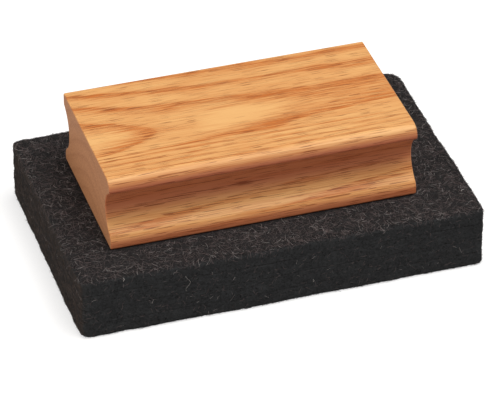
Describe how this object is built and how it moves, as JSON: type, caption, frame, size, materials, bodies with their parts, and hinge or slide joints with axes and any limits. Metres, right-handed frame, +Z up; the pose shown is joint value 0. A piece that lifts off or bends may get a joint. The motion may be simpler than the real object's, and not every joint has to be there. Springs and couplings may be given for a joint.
{
  "type": "chalkboard eraser",
  "caption": "Chalkboard eraser: a moulded wooden block grip with a finger cove down each long side, glued on a thick laminated felt pad.",
  "frame": {"origin": "middle of the felt pad's wiping face, which is the underside the eraser rests on", "axes": "+X along the length of the pad and the grip, +Y across it, +Z up from the wiping face to the grip"},
  "size_m": [0.15, 0.096, 0.0531],
  "materials": {
    "varnished_oak": "clear satin varnish over plain-sawn oak",
    "charcoal_felt": "pressed charcoal wool felt with loose fibres",
    "contact_adhesive": "dried contact adhesive"
  },
  "bodies": {
    "root": {"oak_grip": "varnished_oak", "grip_glue_film": "contact_adhesive", "felt_top_ply": "charcoal_felt", "upper_glue_film": "contact_adhesive", "felt_upper_ply": "charcoal_felt", "middle_glue_film": "contact_adhesive", "felt_lower_ply": "charcoal_felt", "lower_glue_film": "contact_adhesive", "felt_wiping_ply": "charcoal_felt"}
  },
  "joints": []
}
